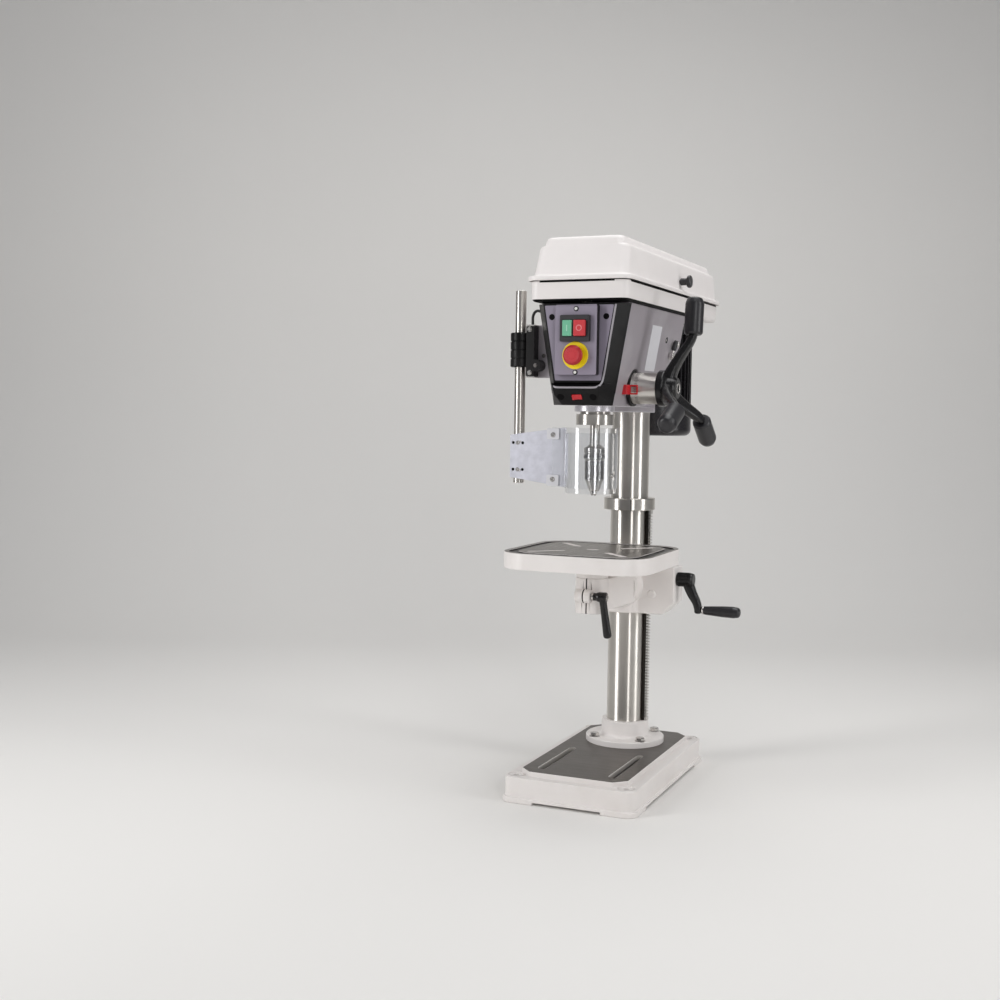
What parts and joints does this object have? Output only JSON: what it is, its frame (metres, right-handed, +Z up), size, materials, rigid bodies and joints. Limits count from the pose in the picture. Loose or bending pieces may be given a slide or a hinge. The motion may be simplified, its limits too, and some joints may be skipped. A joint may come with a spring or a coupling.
{
  "type": "benchtop drill press",
  "caption": "Benchtop drill press: cast base, column, tilting crank-lift table, head with star feed, swing-away chuck guard, front switch panel and belt drive under a hinged lid.",
  "frame": {"origin": "centre of the four bench bolt holes, on the bench plane under the base", "axes": "+Z up along the column, +X to the operator's right (feed star side), -Y towards the operator"},
  "size_m": [0.4344, 0.708, 1.104],
  "materials": {
    "white_paint": "painted, smooth",
    "grey_paint": "painted, metallic satin",
    "polished_steel": "turned and polished",
    "dark_steel": "machined",
    "pulley_alloy": "turned",
    "sheet_alloy": "satin sheet",
    "sheet_steel": "painted sheet",
    "motor_black": "painted, gloss",
    "plate_iron": "painted",
    "black_plastic": "moulded satin",
    "box_plastic": "moulded satin",
    "red_plastic": "moulded gloss",
    "green_plastic": "moulded gloss",
    "yellow_plastic": "moulded gloss",
    "clear_plastic": "clear",
    "belt_rubber": "matt"
  },
  "bodies": {
    "frame": {"base": "white_paint", "column_flange": "white_paint", "flange_bolts": "polished_steel", "column": "polished_steel", "rack_ring": "polished_steel", "head": "grey_paint", "front_panel": "black_plastic", "control_box": "box_plastic", "switch_bezel": "black_plastic", "stop_ring": "yellow_plastic", "belt_tub": "sheet_steel", "hinge_pin": "polished_steel", "spindle_belt": "belt_rubber", "motor_belt": "belt_rubber", "guard_bracket": "grey_paint", "guard_switch": "black_plastic", "guard_lead": "black_plastic", "depth_pointer": "red_plastic", "feed_bearing": "black_plastic", "spring_cap": "black_plastic", "return_spring": "dark_steel"},
    "quill": {"quill": "polished_steel", "quill_bearings": "dark_steel"},
    "spindle": {"spindle": "polished_steel", "chuck_body": "dark_steel"},
    "chuck_sleeve": {"chuck_sleeve": "polished_steel"},
    "jaw_1": {"chuck_jaw_1": "polished_steel"},
    "jaw_2": {"chuck_jaw_2": "polished_steel"},
    "jaw_3": {"chuck_jaw_3": "polished_steel"},
    "spindle_pulley": {"spindle_pulley": "pulley_alloy"},
    "idler_pulley": {"idler_pulley": "pulley_alloy"},
    "motor": {"motor_body": "motor_black", "motor_plate": "plate_iron"},
    "motor_pulley": {"motor_pulley": "pulley_alloy"},
    "tension_lever": {"tension_lever": "polished_steel"},
    "feed": {"feed_shaft": "dark_steel", "feed_star": "black_plastic", "feed_grips": "black_plastic"},
    "depth_drum": {"depth_drum": "polished_steel"},
    "rack": {"rack": "polished_steel"},
    "bracket": {"table_bracket": "white_paint", "tilt_bolt": "polished_steel"},
    "bracket_lever": {"bracket_lever": "plate_iron"},
    "crank": {"crank": "plate_iron"},
    "crank_grip": {"crank_grip": "black_plastic"},
    "lift_gear": {"lift_gear": "dark_steel"},
    "table_arm": {"table_arm": "white_paint"},
    "table": {"table": "white_paint"},
    "table_lever": {"table_lever": "plate_iron"},
    "lid": {"lid": "sheet_steel", "lid_knob": "black_plastic"},
    "guard_bush": {"guard_bush": "black_plastic"},
    "guard": {"guard_rod": "polished_steel", "guard_plate": "sheet_alloy", "outer_shield": "clear_plastic"},
    "inner_shield": {"inner_shield": "clear_plastic"},
    "stop_mushroom": {"stop_mushroom": "red_plastic"},
    "start_button": {"start_button": "green_plastic"},
    "stop_button": {"stop_button": "red_plastic"},
    "light_rocker": {"light_rocker": "red_plastic"}
  },
  "joints": [
    {"name": "quill_feed", "type": "slide", "parent": "frame", "child": "quill", "axis": [0, 0, -1], "range_m": [0, 0.085]},
    {"name": "feed_turn", "type": "hinge", "parent": "frame", "child": "feed", "pos_m": [0, -0.0748, 0.8165], "axis": [1, 0, 0], "range_deg": [0, 305]},
    {"name": "depth_set", "type": "hinge", "parent": "feed", "child": "depth_drum", "pos_m": [0, -0.0748, 0.8165], "axis": [1, 0, 0], "continuous": true},
    {"name": "spindle_spin", "type": "hinge", "parent": "quill", "child": "spindle", "pos_m": [0, -0.118, 0.7], "axis": [0, 0, 1], "continuous": true},
    {"name": "chuck_turn", "type": "hinge", "parent": "spindle", "child": "chuck_sleeve", "pos_m": [0, -0.118, 0.7], "axis": [0, 0, 1], "range_deg": [0, 1080]},
    {"name": "jaw_1_slide", "type": "slide", "parent": "spindle", "child": "jaw_1", "axis": [0, 0.2588, 0.9659], "range_m": [0, 0.024]},
    {"name": "jaw_2_slide", "type": "slide", "parent": "spindle", "child": "jaw_2", "axis": [-0.2241, -0.1294, 0.9659], "range_m": [0, 0.024]},
    {"name": "jaw_3_slide", "type": "slide", "parent": "spindle", "child": "jaw_3", "axis": [0.2241, -0.1294, 0.9659], "range_m": [0, 0.024]},
    {"name": "spindle_pulley_spin", "type": "hinge", "parent": "frame", "child": "spindle_pulley", "pos_m": [0, -0.118, 1], "axis": [0, 0, 1], "continuous": true},
    {"name": "idler_pulley_spin", "type": "hinge", "parent": "frame", "child": "idler_pulley", "pos_m": [0, 0.1, 1], "axis": [0, 0, 1], "continuous": true},
    {"name": "motor_tension", "type": "slide", "parent": "frame", "child": "motor", "axis": [0, -1, 0], "range_m": [0, 0.012]},
    {"name": "motor_pulley_spin", "type": "hinge", "parent": "motor", "child": "motor_pulley", "pos_m": [0, 0.3, 1], "axis": [0, 0, 1], "continuous": true},
    {"name": "tension_lever_turn", "type": "hinge", "parent": "frame", "child": "tension_lever", "pos_m": [0.08, 0.128, 0.889], "axis": [1, 0, 0], "range_deg": [0, 60]},
    {"name": "table_swing", "type": "hinge", "parent": "frame", "child": "rack", "pos_m": [0, 0.11, 0.4], "axis": [0, 0, 1], "continuous": true},
    {"name": "table_lift", "type": "slide", "parent": "rack", "child": "bracket", "axis": [0, 0, 1], "range_m": [-0.22, 0.1]},
    {"name": "lift_gear_turn", "type": "hinge", "parent": "bracket", "child": "lift_gear", "pos_m": [0.0662, 0.11, 0.387], "axis": [0, 1, 0], "continuous": true},
    {"name": "crank_turn", "type": "hinge", "parent": "bracket", "child": "crank", "pos_m": [0.13, 0.088, 0.42], "axis": [1, 0, 0], "continuous": true},
    {"name": "crank_grip_spin", "type": "hinge", "parent": "crank", "child": "crank_grip", "pos_m": [0.21, 0.088, 0.358], "axis": [1, 0, 0], "continuous": true},
    {"name": "bracket_lever_turn", "type": "hinge", "parent": "bracket", "child": "bracket_lever", "pos_m": [-0.03, 0.184, 0.3955], "axis": [1, 0, 0], "range_deg": [-20, 60]},
    {"name": "table_tilt", "type": "hinge", "parent": "bracket", "child": "table_arm", "pos_m": [0, 0.02, 0.405], "axis": [0, 1, 0], "range_deg": [-45, 45]},
    {"name": "table_swivel", "type": "hinge", "parent": "table_arm", "child": "table", "pos_m": [0, -0.118, 0.46], "axis": [0, 0, 1], "continuous": true},
    {"name": "table_lever_turn", "type": "hinge", "parent": "table_arm", "child": "table_lever", "pos_m": [0.03, -0.161, 0.4065], "axis": [1, 0, 0], "range_deg": [-60, 60]},
    {"name": "lid_open", "type": "hinge", "parent": "frame", "child": "lid", "pos_m": [-0.114, 0.1, 1.018], "axis": [0, -1, 0], "range_deg": [0, 95]},
    {"name": "guard_swing", "type": "hinge", "parent": "frame", "child": "guard_bush", "pos_m": [-0.163, -0.118, 0.89], "axis": [0, 0, 1], "range_deg": [-110, 0]},
    {"name": "guard_height", "type": "slide", "parent": "guard_bush", "child": "guard", "axis": [0, 0, -1], "range_m": [-0.02, 0.08]},
    {"name": "guard_extend", "type": "slide", "parent": "guard", "child": "inner_shield", "axis": [0, 0, -1], "range_m": [0, 0.05]},
    {"name": "stop_mushroom_press", "type": "slide", "parent": "frame", "child": "stop_mushroom", "axis": [0, 1, 0], "range_m": [0, 0.004]},
    {"name": "start_press", "type": "slide", "parent": "frame", "child": "start_button", "axis": [0, 1, 0], "range_m": [0, 0.003], "stiffness_N_per_m": 600},
    {"name": "stop_press", "type": "slide", "parent": "frame", "child": "stop_button", "axis": [0, 1, 0], "range_m": [0, 0.003], "stiffness_N_per_m": 600},
    {"name": "light_rocker_tip", "type": "hinge", "parent": "frame", "child": "light_rocker", "pos_m": [0, -0.22155, 0.79874], "axis": [0, -0.5787, 0.8155], "range_deg": [-16, 0]}
  ],
  "couplings": [
    {"joint": "feed_turn", "follows": "quill_feed", "rad_per_m": 62.5},
    {"joint": "spindle_pulley_spin", "follows": "spindle_spin", "ratio": 1},
    {"joint": "idler_pulley_spin", "follows": "spindle_spin", "ratio": 0.77982},
    {"joint": "motor_pulley_spin", "follows": "spindle_spin", "ratio": 0.77982},
    {"joint": "tension_lever_turn", "follows": "motor_tension", "rad_per_m": 87.266},
    {"joint": "lift_gear_turn", "follows": "table_lift", "rad_per_m": -55.556},
    {"joint": "crank_turn", "follows": "table_lift", "rad_per_m": 1333.3},
    {"joint": "jaw_1_slide", "follows": "chuck_turn", "m_per_rad": 0.0012732},
    {"joint": "jaw_2_slide", "follows": "chuck_turn", "m_per_rad": 0.0012732},
    {"joint": "jaw_3_slide", "follows": "chuck_turn", "m_per_rad": 0.0012732}
  ]
}
